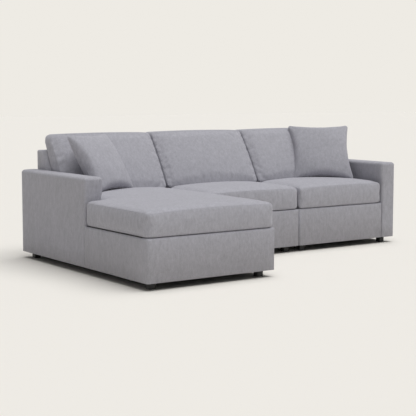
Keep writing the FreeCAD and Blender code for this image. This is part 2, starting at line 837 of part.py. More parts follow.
def make_arm_cover(module, side, holes):
    t = "cover_thickness"
    rise = "arm_height - foot_height"
    body = doc.addObject("PartDesign::Body", f"{side}_arm_shell")
    edge = [("0", "0"), ("arm_width", "0"), ("arm_width", "sofa_depth"), ("0", "sofa_depth")]
    pad(body, f"{side}_arm_block", outline(body, f"{side}_arm_edge", "XY_Plane", edge), rise)
    rounded(body, f"{side}_arm_round", "arm_radius",
            lambda box: near(box.ZMax, rise) and (box.ZLength > 1 or near(box.ZMin, rise)))
    hollow = [(t, t), (f"arm_width - {t}", t), (f"arm_width - {t}", f"sofa_depth - {t}"),
              (t, f"sofa_depth - {t}")]
    pocket(body, f"{side}_arm_hollow",
           outline(body, f"{side}_arm_inside", "XY_Plane", hollow, f"{rise} - {t}"), rise)
    place(body, ARMS[module], "front_line", "foot_height")
    return name_it(drilled(f"{side}_arm_cover_holes", body, holes), f"{side}_arm_cover")


# Soft pieces: rings of points joined by flat facets, the rings closest together at the ends.
END_ANGLES = (0, 22.5, 45, 67.5, 90)
CORNER_STEPS = 4
SWELL_STEPS = 6


def bend(start, middle, stop, steps):
    """Points along the arc through three points, without the last one."""
    return Part.Arc(start, middle, stop).toShape().discretize(Number=steps + 1)[:-1]


def soft_ring(axis, corners):
    """The points of a closed ring in a plane across the axis, anticlockwise about it.

    A corner is a point, the radius that rounds it and the swell of the side that follows.
    """
    cuts = []
    for index, (point, radius, _) in enumerate(corners):
        if not radius:
            cuts.append((point, point, point))
            continue
        before = (corners[index - 1][0] - point).normalize()
        after = (corners[(index + 1) % len(corners)][0] - point).normalize()
        half = before.getAngle(after) / 2
        reach = radius / math.tan(half)
        tip = point + (before + after).normalize() * (radius / math.sin(half) - radius)
        cuts.append((point + before * reach, tip, point + after * reach))
    points = []
    for index, (start, tip, stop) in enumerate(cuts):
        _, radius, swell = corners[index]
        onward = cuts[(index + 1) % len(cuts)][0]
        if radius:
            points += bend(start, tip, stop, CORNER_STEPS)
        if swell:
            outward = (onward - stop).cross(axis).normalize()
            points += bend(stop, (stop + onward) / 2 + outward * swell, onward, SWELL_STEPS)
        else:
            points.append(stop)
    return points


def facet(*points):
    """A flat face through its corners."""
    return Part.Face(Part.makePolygon([*points, points[0]]))


def skin(rings):
    """The closed solid through rings of as many points each."""
    faces = [facet(*rings[0]), facet(*rings[-1])]
    for ring, onward in zip(rings, rings[1:]):
        for index, point in enumerate(ring):
            faces.append(facet(ring[index - 1], point, onward[index]))
            faces.append(facet(ring[index - 1], onward[index], onward[index - 1]))
    solid = Part.Solid(Part.Shell(faces))
    if solid.Volume < 0:
        solid.reverse()
    return solid


def shy(depth, radius):
    """How far a rounded edge stands back, at a depth from the end that it rounds."""
    if depth >= radius:
        return 0
    return radius - math.sqrt(radius ** 2 - (radius - depth) ** 2)


def crown(share):
    """The height of a crown along its length: 0 at both ends, 1 in the middle."""
    return 1 - (2 * share - 1) ** 2


def stations(start, stop, radius, between):
    """Where the sections stand: round both ends, and evenly in between."""
    ends = [radius * (1 - math.cos(math.radians(angle))) for angle in END_ANGLES]
    run = stop - start - 2 * radius
    middle = [start + radius + run * number / between for number in range(1, between)]
    return [start + end for end in ends] + middle + [stop - end for end in reversed(ends)]


def seat_limits(module, inset):
    """A seat cushion's left, right, front and rear; ear and notch bound its part before the arm."""
    side = size("seat_side_gap") + inset
    x, width, front = (size(text) for text in MODULES[module])
    left, right = x + side, x + width - side
    ahead, behind = front + side, size(f"{REAR} - back_foot_depth - soft_gap") - inset
    if module != "chaise":
        return left, right, ahead, behind, left, ahead
    return left, right, ahead, behind, size("-half_width") + side, size("front_line") - side


def seat_ring(module, y):
    """The section of a seat cushion at a Y: soft corners and a crowned top."""
    left, right, ahead, behind, ear, notch = seat_limits(module, 0)
    edge, corner, lower = (size(f"seat_{word}_radius") for word in ("edge", "corner", "lower"))
    depth, share = min(y - ahead, behind - y), (y - ahead) / (behind - ahead)
    waist = shy(depth, corner) + size("seat_draw") * crown(share)
    top = size("seat_level") + size("seat_crown_along") * crown(share) - shy(depth, edge)
    low = size("base_top + fit") + shy(depth, lower)
    left, right = left + waist, right - waist
    if module != "chaise":
        return soft_ring(V(0, 1, 0), [
            (V(left, y, low), lower, 0),
            (V(left, y, top), edge, size("seat_crown_across")),
            (V(right, y, top), edge, 0),
            (V(right, y, low), lower, 0),
        ])
    joint = V(left + edge + size("soft_gap"), y, top)
    outer = V(left, y, top)
    if y <= notch:
        reach = min(y - ahead, notch - y)
        fall = size("seat_ear_fall") + shy(reach, edge) - shy(depth, edge)
        outer = V(ear + shy(reach, corner), y, top - fall)
    return soft_ring(V(0, 1, 0), [
        (V(outer.x, y, low), lower, 0),
        (outer, edge, 0),
        (joint, 0, size("seat_crown_across")),
        (V(right, y, top), edge, 0),
        (V(right, y, low), lower, 0),
    ])


def seat_form(module):
    """A seat cushion's outer shape; the chaise's own steps in where the arm begins."""
    left, _, ahead, behind, ear, notch = seat_limits(module, 0)
    corner = size("seat_corner_radius")
    rows = stations(ahead, behind, corner, 4)
    if ear < left:
        turn = [y for y in stations(ahead, notch, corner, 1) if y >= notch - corner]
        rows = [y for y in rows if abs(y - notch) > 1.5 * corner] + turn + [notch + 1]
    return skin([seat_ring(module, y) for y in sorted(rows)])


def seat_core(module, slack):
    """The foam block, or with no slack the space for it."""
    wrap = size("seat_wrap") + slack
    left, right, ahead, behind, ear, notch = seat_limits(module, wrap)
    low, rise = size("base_top") + wrap, size("seat_edge_height") - 2 * wrap
    core = Part.makeBox(right - left, behind - ahead, rise, V(left, ahead, low))
    if ear < left:
        wing = Part.makeBox(left - ear, notch - ahead, rise, V(ear, ahead, low))
        core = core.fuse(wing).removeSplitter()
    return core


def soft_piece(label, shape):
    piece = doc.addObject("Part::Feature", label + "_body")
    piece.Shape = shape
    return name_it(piece, label)


def settled(shape, way, neighbours):
    """The shape moved along the way until it is the soft gap from its nearest neighbour."""
    gap = size("soft_gap")
    for _ in range(12):
        room = min(shape.distToShape(thing)[0] for thing in neighbours) - gap
        if abs(room) < 0.1:
            break
        shape.translate(way * room)
    return shape


def make_seat_cushion(module):
    outer = seat_form(module)
    soft_piece(f"{module}_seat_cushion", outer.cut(seat_core(module, 0)))
    soft_piece(f"{module}_seat_foam", seat_core(module, size("fit")))
    return outer


def back_corners(x, share, depth, inset):
    """The four corners of a back cushion's section, from its rear foot, and its softness there."""
    slope, fall = size("back_slope"), size(SLOPE_FALL)
    level, full = size("seat_level"), size("back_cushion_top - seat_level")
    corner, front, rear = (size(f"back_cushion_{word}_radius") for word in ("corner", "front", "rear"))
    recess = size("back_cushion_end_recess") * (1 - crown(share)) + shy(depth, front)
    low = level + size("seat_crown_across") * crown(share) + shy(depth, front) + inset
    high = size("back_cushion_top") - shy(depth, corner) - inset
    high -= size("back_cushion_crown") * (1 - crown(share))

    def rear_y(z):
        lying = (z - level) * slope - size("back_foot_depth")
        return size(REAR) + lying - (size("soft_gap") + inset) * fall - shy(depth, rear)

    def front_y(z):
        foot, top = size("back_cushion_foot_depth"), size("back_cushion_top_depth")
        thick = foot - (foot - top) * (z - level) / full
        return rear_y(z) + shy(depth, rear) + (2 * inset + size("soft_gap")) * fall - thick + recess

    low_rear, low_front = low + size("back_foot_lift"), low + size("seat_crown_along")
    points = [V(x, rear_y(low_rear), low_rear), V(x, front_y(low_front), low_front),
              V(x, front_y(high), high), V(x, rear_y(high), high)]
    return points, 0.3 + 0.7 * min(1, depth / corner)


def back_form(module):
    """A back cushion's outer shape: full in the middle, thinner and rounded at its ends."""
    x, width, _ = (size(text) for text in MODULES[module])
    left, right = x + size("seat_side_gap"), x + width - size("seat_side_gap")
    front, rear = size("back_cushion_front_radius"), size("back_cushion_rear_radius")
    rings = []
    for at in stations(left, right, size("back_cushion_corner_radius"), 4):
        share = (at - left) / (right - left)
        points, soft = back_corners(at, share, min(at - left, right - at), 0)
        swell = size("back_cushion_bulge") * (0.6 + 0.4 * crown(share))
        radii = (rear * soft, front * soft, front * soft, rear * soft)
        swells = (0, swell, size("back_cushion_top_swell"), 0)
        rings.append(soft_ring(V(1, 0, 0), list(zip(points, radii, swells))))
    return skin(rings)


def back_core(module, slack):
    """The fibre insert of a back cushion, or with no slack the space for it."""
    wrap = size("back_cushion_wrap") + slack
    x, width, _ = (size(text) for text in MODULES[module])
    side = size("seat_side_gap") + wrap
    rings = []
    for at in (x + side, x + width - side):
        points, _ = back_corners(at, 0, size("back_cushion_corner_radius"), wrap)
        rings.append(soft_ring(V(1, 0, 0), [(point, 0, 0) for point in points]))
    return skin(rings)


def make_back_cushion(module, seat):
    """The cushion slides down the sloping back until it lies on the seat cushion."""
    slope = size("back_slope")
    down = V(0, -slope, -1).normalize()
    outer = back_form(module)
    outer.translate(down * -20)
    start = outer.BoundBox.ZMin
    settled(outer, down, [seat])
    moved = down * ((start - outer.BoundBox.ZMin) / -down.z - 20)
    space, insert = back_core(module, 0), back_core(module, size("fit"))
    space.translate(moved)
    insert.translate(moved)
    soft_piece(f"{module}_back_cushion", outer.cut(space))
    soft_piece(f"{module}_back_insert", insert)
    return outer


def pillow_form():
    """A knife-edge pillow lying flat: sides drawn in, corners thin, full in the middle."""
    half, edge = size("pillow_size / 2"), size("pillow_edge / 2")
    full = size("pillow_thickness / 2") - edge
    rings = []
    for share in (-1, -0.9, -0.7, -0.4, 0, 0.4, 0.7, 0.9, 1):
        reach = half - size("pillow_draw") * (1 - share ** 2)
        swell = edge + full * (1 - abs(share) ** 2.6) ** 0.75
        left, right = V(share * half, -reach, 0), V(share * half, reach, 0)
        rings.append(soft_ring(V(1, 0, 0), [(left, 0, swell), (right, 0, swell)]))
    return skin(rings)


def pillow_core(slack):
    """The fibre insert, or with no slack the space for it: thinner towards its edges."""
    wrap = size("pillow_wrap") + slack
    half, high = size("pillow_size / 2 - pillow_draw") - wrap, size("pillow_thickness / 2") - wrap
    rings = []
    for z, reach in ((-high, half / 2), (0, half), (high, half / 2)):
        square = [V(-reach, -reach, z), V(reach, -reach, z), V(reach, reach, z), V(-reach, reach, z)]
        rings.append(square)
    return skin(rings)


def make_pillow(side, x, y, seat, back, arm):
    """A pillow that stands on the seat cushion and leans on the back cushion beside the arm."""
    turn, lean = size(f"{side}_pillow_turn"), size("pillow_lean")
    stand = FreeCAD.Rotation(V(0, 0, 1), turn) * FreeCAD.Rotation(V(1, 0, 0), 90 - lean)
    start = V(x, y, size("pillow_centre_height"))
    outer = pillow_form()
    outer.Placement = FreeCAD.Placement(start, stand)
    before = outer.BoundBox.Center
    for way, neighbours in (
        (V(0, 0, -1), [seat]),
        (V(0, 1, 0), [back]),
        (V(0, 0, -1), [seat, back, arm]),
    ):
        settled(outer, way, neighbours)
    where = FreeCAD.Placement(start + outer.BoundBox.Center - before, stand)
    space, insert = pillow_core(0), pillow_core(size("fit"))
    space.Placement = insert.Placement = where
    soft_piece(f"{side}_pillow", outer.cut(space))
    soft_piece(f"{side}_pillow_insert", insert)


foot = make_foot()
arm_bolt = make_bolt("ArmBolt", "arm_bolt_length")
bracket_bolt = make_bolt("BracketBolt", "bracket_plate + dust_thickness + bracket_bolt_length")
hook = trim_tongue(make_hook())
keeper = make_keeper()
rib = make_rib()
doc.recompute()

seats, backs = {}, {}
for module in MODULES:
    studs, bolts = stud_holes(module), bracket_bolt_holes(module)
    arm_holes = arm_bolt_holes(module) if module in ARMS else []
    make_feet(module, foot)
    make_bolts(module, arm_bolt, bracket_bolt)
    make_end_rails(module)
    make_joists(module, bolts + arm_holes)
    make_corner_blocks(module, studs)
    make_webbing(module)
    make_base_cover(module)
    make_deck_pad(module)
    make_dust_cover(module, studs + bolts)
    make_ribs(module, rib)
    make_back_rails(module)
    make_back_cover(module)
    if module in ARMS:
        side = "left" if module == "chaise" else "right"
        make_arm_frame(module, side, arm_holes + studs)
        make_arm_cover(module, side, arm_holes)
    seats[module] = make_seat_cushion(module)
    backs[module] = make_back_cushion(module, seats[module])

make_brackets("middle", hook, "middle_hook_brackets")
make_brackets("chaise", keeper, "chaise_keeper_brackets")
make_brackets("right", keeper, "right_keeper_brackets")
doc.recompute()

for module, side in (("chaise", "left"), ("right", "right")):
    box = next(node for node in nodes if node.Label == f"{side}_arm_cover").Shape.BoundBox
    arm = Part.makeBox(box.XLength, box.YLength, box.ZLength, V(box.XMin, box.YMin, box.ZMin))
    x = "left_pillow_x - half_width" if side == "left" else "half_width - right_pillow_x"
    y = f"front_line + {side}_pillow_y"
    make_pillow(side, size(x), size(y), seats[module], backs[module], arm)

doc.recompute()
for thing in doc.Objects:
    if "Invalid" in thing.State or "Error" in thing.State:
        raise RuntimeError(f"{thing.Name} did not compute")
os.makedirs("parts", exist_ok=True)
for node in nodes:
    shape = node.Shape
    if shape.isNull() or not shape.isValid() or not shape.Solids:
        raise RuntimeError(f"{node.Label} is not a valid solid")
for node in nodes:
    node.Shape.exportStep(f"parts/{node.Label}.step")
print(len(nodes), "nodes written")
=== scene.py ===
# %% [markdown]
# # A three-seat sectional sofa with a chaise
#
# The sofa's frame comes from the construction drawing as fixed solids: boards, feet, brackets,
# webbing, and plain solids where the cloth parts lie. This lesson dresses it. The hard parts keep
# their shape and get a finish. Every cloth part is made again as what it is: a fitted cover with
# soft edges, or a sewn bag with something springy inside, crowned, drawn in between its corners.

# %% Load the frame
import math

import bmesh
import bpy
from mathutils import Matrix, Vector
from mathutils.bvhtree import BVHTree


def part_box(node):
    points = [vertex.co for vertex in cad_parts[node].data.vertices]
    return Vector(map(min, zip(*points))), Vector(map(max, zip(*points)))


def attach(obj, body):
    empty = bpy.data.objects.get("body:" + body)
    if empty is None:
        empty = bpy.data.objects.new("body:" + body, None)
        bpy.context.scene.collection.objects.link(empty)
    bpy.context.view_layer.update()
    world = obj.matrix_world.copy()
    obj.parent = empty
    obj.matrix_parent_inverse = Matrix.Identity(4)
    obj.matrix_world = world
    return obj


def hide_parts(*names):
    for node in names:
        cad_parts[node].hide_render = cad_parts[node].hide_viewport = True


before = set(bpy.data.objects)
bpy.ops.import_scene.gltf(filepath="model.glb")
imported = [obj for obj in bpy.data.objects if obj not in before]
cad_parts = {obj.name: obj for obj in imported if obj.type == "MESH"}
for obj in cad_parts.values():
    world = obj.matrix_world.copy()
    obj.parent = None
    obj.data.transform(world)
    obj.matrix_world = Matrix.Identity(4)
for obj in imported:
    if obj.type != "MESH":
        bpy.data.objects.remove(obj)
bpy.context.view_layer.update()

# %% [markdown]
# ## The camera
#
# The picture was taken a little above arm height, from the chaise's side, with a long lens. The
# camera's place and turn come from matching the corners of base, arms and back, so the sofa lands
# where it is in the picture without any shift of the lens.

# %% The camera
LOOK_DOWN, LOOK_RIGHT = 6.046, 34.849

camera_data = bpy.data.cameras.new("studio_camera")
camera = bpy.data.objects.new("studio_camera", camera_data)
bpy.context.scene.collection.objects.link(camera)
camera.location = (-4.6731, -6.2207, 1.1604)
camera.rotation_euler = (math.radians(90 - LOOK_DOWN), 0, math.radians(-LOOK_RIGHT))
camera_data.lens = 95.53
camera_data.sensor_width = 36
camera_data.clip_end = 100
bpy.context.scene.camera = camera
print("the camera stands", round(camera.location.length, 2), "m from the sofa's middle")

# %% [markdown]
# ## Floor, backdrop and light
#
# A pale warm floor runs into a backdrop of the same colour. Part of the light is an even glow from
# all round, the rest is one very soft lamp overhead, a little to the front, together at the plain
# level at which a colour renders as it is written. The pale floor throws light back up at the sofa.

# %% The floor
PALE = (0.855, 0.829, 0.776, 1)

floor_material = bpy.data.materials.new("pale_floor")
floor_material.use_nodes = True
floor_shader = floor_material.node_tree.nodes["Principled BSDF"]
floor_shader.inputs["Roughness"].default_value = 0.95
floor_shader.inputs["Specular IOR Level"].default_value = 0.05
floor_shader.inputs["Base Color"].default_value = PALE

floor_sheet = bmesh.new()
bmesh.ops.create_grid(floor_sheet, x_segments=1, y_segments=1, size=40)
floor_data = bpy.data.meshes.new("studio_floor")
floor_sheet.to_mesh(floor_data)
floor_sheet.free()
floor_data.materials.append(floor_material)
floor = bpy.data.objects.new("studio_floor", floor_data)
bpy.context.scene.collection.objects.link(floor)
print("floor laid in", [round(part, 3) for part in PALE[:3]])

# %% [markdown]
# The world has two faces. What the camera sees of it, straight or in a shiny surface, is the pale
# backdrop; what lights the sofa is the glow. A small helper builds arithmetic out of nodes.

# %% The glow and the backdrop
GLOW = 0.28


def chain(tree, operation, first, second=None):
    """One step of arithmetic in a node tree; its output."""
    step = tree.nodes.new("ShaderNodeMath")
    step.operation = operation
    for socket, value in zip(step.inputs, (first, second)):
        if isinstance(value, (int, float)):
            socket.default_value = value
        elif value is not None:
            tree.links.new(value, socket)
    return step.outputs[0]


world = bpy.data.worlds.new("studio_world")
bpy.context.scene.world = world
world.use_nodes = True
world_tree = world.node_tree
glow = world_tree.nodes["Background"]
glow.inputs["Color"].default_value = (0.98, 0.98, 1.0, 1)
glow.inputs["Strength"].default_value = GLOW
backdrop = world_tree.nodes.new("ShaderNodeBackground")
backdrop.inputs["Color"].default_value = PALE
rays = world_tree.nodes.new("ShaderNodeLightPath")
mirrored = chain(world_tree, "MAXIMUM", rays.outputs["Is Glossy Ray"],
                 rays.outputs["Is Transmission Ray"])
seen = chain(world_tree, "MAXIMUM", rays.outputs["Is Camera Ray"], mirrored)
either = world_tree.nodes.new("ShaderNodeMixShader")
for socket, source in zip(either.inputs, (seen, glow.outputs[0], backdrop.outputs[0])):
    world_tree.links.new(source, socket)
world_tree.links.new(either.outputs[0], world_tree.nodes["World Output"].inputs["Surface"])
print("an even glow of", GLOW, "and a backdrop in the floor's colour")

# %% [markdown]
# The rest of the light is one lamp. A window or a row of studio panels could be built from area
# lamps, but a sun lamp that is very wide gives the same soft, wide-angled light everywhere on a
# long sofa. It hangs nearly overhead, so the seats are bright and the sides lie in soft shade.

# %% The lamp
LAMP_WIDTH, LAMP_STRENGTH, LAMP_WAY = 65, 2.38, (-0.22, 0.18, -0.95)

lamp_data = bpy.data.lights.new("soft_lamp", "SUN")
lamp_data.angle = math.radians(LAMP_WIDTH)
lamp_data.energy = LAMP_STRENGTH
lamp = bpy.data.objects.new("soft_lamp", lamp_data)
bpy.context.scene.collection.objects.link(lamp)
lamp.rotation_euler = Vector(LAMP_WAY).to_track_quat("-Z", "Y").to_euler()
bpy.context.scene.view_settings.view_transform = "Standard"
print("one lamp,", LAMP_WIDTH, "degrees wide")

# %% [markdown]
# ## The weave
#
# The cloth is one heathered weave: light and dark yarns twisted together, so the grey breaks into
# flecks, with slightly thicker yarns that run up and down as faint streaks. A photograph of cloth
# could be wrapped round each piece, but it would stretch and show its edges. Noise that is worked
# out from the place on the sofa has neither fault. These are the steps it is put together from.

# %% Noise, swing and shade
def grain(tree, place, scale, stretch, detail=2):
    """Noise in metres, stretched so that its flecks run along one direction."""
    turn = tree.nodes.new("ShaderNodeMapping")
    turn.inputs["Scale"].default_value = stretch
    tree.links.new(place, turn.inputs["Vector"])
    cloud = tree.nodes.new("ShaderNodeTexNoise")
    cloud.inputs["Scale"].default_value = scale
    cloud.inputs["Detail"].default_value = detail
    cloud.inputs["Roughness"].default_value = 0.6
    tree.links.new(turn.outputs[0], cloud.inputs["Vector"])
    return cloud.outputs["Fac"]


def swing(tree, noise, strength):
    """Noise made to swing about zero, by a strength."""
    return chain(tree, "MULTIPLY", chain(tree, "SUBTRACT", noise, 0.5), strength)


def shaded(tree, colour, factor):
    """A colour made lighter or darker by a factor."""
    grow = tree.nodes.new("ShaderNodeVectorMath")
    grow.operation = "SCALE"
    tree.links.new(colour, grow.inputs[0])
    tree.links.new(factor, grow.inputs["Scale"])
    return grow.outputs[0]


print("steps ready: noise, swing, shade")

# %% [markdown]
# The weave is built once as a node group that puts out a colour, a roughness and a height, so that
# every cloth of the sofa shares it with its own values. The shader stays in each material. First
# the empty group with its sockets.

# %% An empty node group
def new_group(name, numbers, colours, outputs):
    """An empty shader group with its sockets; the group, its input node and its output node."""
    group = bpy.data.node_groups.new(name, "ShaderNodeTree")
    for label, value in numbers.items():
        socket = group.interface.new_socket(label, in_out="INPUT", socket_type="NodeSocketFloat")
        socket.default_value = value
    for label, value in colours.items():
        socket = group.interface.new_socket(label, in_out="INPUT", socket_type="NodeSocketColor")
        socket.default_value = value
    for label in outputs:
        kind = "NodeSocketColor" if label == "Color" else "NodeSocketFloat"
        group.interface.new_socket(label, in_out="OUTPUT", socket_type=kind)
    return group, group.nodes.new("NodeGroupInput"), group.nodes.new("NodeGroupOutput")


print("a group takes numbers and colours in, and gives colours and values out")

# %% [markdown]
# Four sizes of noise make the heather: fibre flecks, single threads, thick-and-thin streaks and
# broad cloudy patches. Crossed sine waves give the height of the woven yarns; real threads would
# take millions of faces, and at this distance they only break up the light.

# %% The weave group
FLECKS, THREADS, STREAKS, PATCHES = 420, 150, 55, 11
CLOUDINESS = 0.12


def woven_height(group, place, yarn):
    """Crossed waves of one yarn's width, in all three directions."""
    split = group.nodes.new("ShaderNodeSeparateXYZ")
    group.links.new(place, split.inputs[0])
    waves = []
    for axis in range(3):
        turns = chain(group, "DIVIDE", split.outputs[axis], yarn)
        waves.append(chain(group, "SINE", chain(group, "MULTIPLY", turns, math.pi)))
    crossed = [chain(group, "MULTIPLY", waves[a], waves[b]) for a, b in ((0, 1), (1, 2), (2, 0))]
    return chain(group, "ADD", chain(group, "ADD", crossed[0], crossed[1]), crossed[2])


def weave_group():
    """The shared weave: the colour, the roughness and the height of a heathered cloth."""
    group, into, out = new_group(
        "heathered_weave", {"Yarn": 0.0016, "Heather": 0.5, "Slub": 0.34},
        {"Tint": (0.4, 0.4, 0.42, 1)}, ("Color", "Roughness", "Height"))
    place = group.nodes.new("ShaderNodeTexCoord").outputs["Object"]
    yarns = woven_height(group, place, into.outputs["Yarn"])
    flecks = grain(group, place, FLECKS, (1, 1, 0.5), detail=3)
    threads = grain(group, place, THREADS, (1, 1, 0.3))
    streaks = grain(group, place, STREAKS, (1, 1, 0.4))
    patches = grain(group, place, PATCHES, (1, 1, 0.4))
    heather, slub = into.outputs["Heather"], into.outputs["Slub"]
    fine = chain(group, "ADD", swing(group, flecks, heather), swing(group, patches, CLOUDINESS))
    runs = chain(group, "ADD", swing(group, streaks, slub), swing(group, threads, slub))
    total = chain(group, "ADD", chain(group, "ADD", fine, runs), 1.0)
    rough = chain(group, "ADD", chain(group, "MULTIPLY", flecks, 0.15), 0.8)
    relief = chain(group, "ADD", chain(group, "MULTIPLY", yarns, 0.3), flecks)
    group.links.new(shaded(group, into.outputs["Tint"], total), out.inputs["Color"])
    group.links.new(rough, out.inputs["Roughness"])
    group.links.new(relief, out.inputs["Height"])
    return group


WEAVE = weave_group()
print("weave group with", len(WEAVE.nodes), "nodes")

# %% [markdown]
# One function makes a cloth of a given grey. Sheen is the pale rim that short fibres give a matt
# cloth where the eye grazes it. It is the same all over, so it sits on the shader's own socket.

# %% How a cloth is finished
def new_material(name):
    """A material with its node tree and shader."""
    material = bpy.data.materials.new(name)
    material.use_nodes = True
    return material, material.node_tree, material.node_tree.nodes["Principled BSDF"]


def embossed(tree, shader, height, strength, distance):
    """Raises a height on a shader as fine relief."""
    bump = tree.nodes.new("ShaderNodeBump")
    bump.inputs["Strength"].default_value = strength
    bump.inputs["Distance"].default_value = distance
    tree.links.new(height, bump.inputs["Height"])
    tree.links.new(bump.outputs["Normal"], shader.inputs["Normal"])


def cloth(name, tint, heather=0.5, slub=0.34, sheen=0.12, yarn=0.0016):
    """A woven cloth of one tint."""
    material, tree, shader = new_material(name)
    weave = tree.nodes.new("ShaderNodeGroup")
    weave.node_tree = WEAVE
    weave.inputs["Tint"].default_value = (*tint, 1)
    weave.inputs["Heather"].default_value = heather
    weave.inputs["Slub"].default_value = slub
    weave.inputs["Yarn"].default_value = yarn
    tree.links.new(weave.outputs["Color"], shader.inputs["Base Color"])
    tree.links.new(weave.outputs["Roughness"], shader.inputs["Roughness"])
    embossed(tree, shader, weave.outputs["Height"], 0.4, 0.0006)
    shader.inputs["Sheen Weight"].default_value = sheen
    shader.inputs["Sheen Roughness"].default_value = 0.5
    shader.inputs["Specular IOR Level"].default_value = 0.2
    return material


print("a cloth has a tint, heather, slub, sheen and a yarn's width")

# %% [markdown]
# The covers, cushions and pillows are cut from the same cool grey cloth, a touch paler on the
# cushions and a little more on the pillows. The seams' cloth is paler still, a painted highlight
# along the seam ridges. Inside are felt on the deck, thin black cloth underneath, brown elastic
# webbing, yellow foam and pale fibre.

# %% The sofa's cloths
GREY = (0.398, 0.394, 0.432)
cover_cloth = cloth("cover_cloth", GREY)
cushion_cloth = cloth("cushion_cloth", [1.02 * part for part in GREY])
pillow_cloth = cloth("pillow_cloth", [1.03 * part for part in GREY], heather=0.55)
# 5% paler than the grey and nearly without streaks: the paleness is a painted highlight along the
# seam ridges
seam_highlight_cloth = cloth("seam_highlight_cloth", [1.05 * part for part in GREY], slub=0.05)
felt = cloth("deck_felt", (0.09, 0.09, 0.095), heather=0.9, slub=0.1, yarn=0.003)
dust_cloth = cloth("dust_cloth", (0.012, 0.012, 0.013), slub=0, sheen=0.02)
webbing_cloth = cloth("webbing_cloth", (0.12, 0.09, 0.06), heather=0.4, yarn=0.0025)
foam = cloth("seat_foam", (0.72, 0.62, 0.36), heather=0.2, slub=0, yarn=0.004)
fibre = cloth("fibre_wadding", (0.8, 0.79, 0.76), heather=0.2, slub=0.1, yarn=0.006)
print("cloths:", [m.name for m in bpy.data.materials if m.name.endswith(("cloth", "felt"))])

# %% [markdown]
# ## Hard finishes
#
# The frame is planed softwood with its grain along the boards, the feet are moulded black plastic,
# the bolts are bright zinc and the brackets are powder-coated. One recipe serves them all: a
# mottled colour, an uneven gloss and a faint relief, each at the scale of its own surface.

# %% Timber, plastic and steel
def hard(name, colour, rough, metallic=0.0, mottle=0.15, fine=900, stretch=(1, 1, 1)):
    """A hard finish: mottled colour, uneven gloss and a faint relief."""
    material, tree, shader = new_material(name)
    place = tree.nodes.new("ShaderNodeTexCoord").outputs["Object"]
    broad = grain(tree, place, fine / 12, stretch, detail=3)
    small = grain(tree, place, fine, stretch)
    tint = tree.nodes.new("ShaderNodeCombineXYZ")
    for socket, part in zip(tint.inputs, colour):
        socket.default_value = part
    factor = chain(tree, "ADD", swing(tree, broad, 2 * mottle), 1.0)
    gloss = chain(tree, "ADD", chain(tree, "MULTIPLY", small, 0.25), rough - 0.12)
    tree.links.new(shaded(tree, tint.outputs[0], factor), shader.inputs["Base Color"])
    tree.links.new(gloss, shader.inputs["Roughness"])
    embossed(tree, shader, small, 0.3, 0.0002)
    shader.inputs["Metallic"].default_value = metallic
    return material


timber = hard("planed_timber", (0.60, 0.42, 0.24), 0.6, mottle=0.35, fine=500,
              stretch=(0.25, 1, 1))
foot_plastic = hard("foot_plastic", (0.018, 0.018, 0.019), 0.5, mottle=0.2)
bolt_steel = hard("bolt_steel", (0.62, 0.62, 0.60), 0.35, metallic=1.0, mottle=0.08)
bracket_steel = hard("bracket_powder_coat", (0.02, 0.02, 0.022), 0.55, mottle=0.2, fine=1500)
print("hard finishes:", [m.name for m in (timber, foot_plastic, bolt_steel, bracket_steel)])

# %% [markdown]
# Feet, boards, bolts, brackets, straps, foam and fibre have their real shape in the drawing
# already. Modelling them again would only risk a different size, so each takes a finish and stays.
# The end of a node's name says what it is.

# %% Finishes on the drawing's own pieces
FINISHES = {
    "_feet": foot_plastic, "_bolts": bolt_steel, "_brackets": bracket_steel,
    "_end_rails": timber, "_joists": timber, "_corner_blocks": timber, "_back_ribs": timber,
    "_back_rails": timber, "_arm_frame": timber, "_webbing": webbing_cloth, "_deck_pad": felt,
    "_dust_cover": dust_cloth, "_seat_foam": foam, "_insert": fibre,
}
finished = 0
for label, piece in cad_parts.items():
    for ending, finish in FINISHES.items():
        if label.endswith(ending):
            for part in piece.material_slots:
                part.material = finish
            finished += 1
print(finished, "of the drawing's nodes took a finish")

# %% [markdown]
# ## Blocks
#
# Covers and cushions are sewn to a plan, so each starts as a flat outline that is raised into a
# block, whose edges are then rounded. Starting from a cube and pushing points about would do for
# one of them, but not for the L of the chaise and the sloping back, and an outline reads easily.

# %% Raising and rounding
def raised(outline, way, length):
    """A closed block: a flat outline of points, raised along a direction."""
    block = bmesh.new()
    face = block.faces.new([block.verts.new(point) for point in outline])
    grown = bmesh.ops.extrude_face_region(block, geom=[face])["geom"]
    points = [item for item in grown if isinstance(item, bmesh.types.BMVert)]
    bmesh.ops.translate(block, verts=points, vec=Vector(way) * length)
    bmesh.ops.recalc_face_normals(block, faces=block.faces)
    return block


def rounded(block, radius, wanted, segments=5):
    """Rounds the edges whose two ends pass a test."""
    edges = [edge for edge in block.edges if wanted(*[corner.co for corner in edge.verts])]
    bmesh.ops.bevel(block, geom=edges, offset=radius, segments=segments, profile=0.5,
                    affect="EDGES", material=-1, clamp_overlap=True)


def near(first, second, within=1e-4):
    """Whether two measures are the same, give or take a little."""
    return abs(first - second) < within


def upright(a, b):
    """Whether an edge stands straight up."""
    return near(a.x, b.x) and near(a.y, b.y)


def level_at(a, b, height, within=1e-4):
    """Whether an edge lies level at a height."""
    return near(a.z, height, within) and near(b.z, height, within)


print("blocks can be raised and rounded")

# %% [markdown]
# Every finished mesh is handed over in the same way: smooth faces, one finish, the body that it
# moves with, and the drawing's node that it stands for.

# %% Handing a piece over
def sewn_piece(name, mesh, finish, body, stands_for=()):
    """Hands a mesh over as a piece that rides on a body and stands for the drawing's nodes."""
    data = mesh
    if isinstance(mesh, bmesh.types.BMesh):
        data = bpy.data.meshes.new(name)
        mesh.to_mesh(data)
        mesh.free()
    for face in data.polygons:
        face.use_smooth = True
    data.materials.clear()
    data.materials.append(finish)
    piece = bpy.data.objects.new(name, data)
    bpy.context.scene.collection.objects.link(piece)
    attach(piece, body)
    if stands_for:
        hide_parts(*stands_for)
    return piece


MODULES = ("chaise", "middle", "right")
print("the sofa's modules:", MODULES)

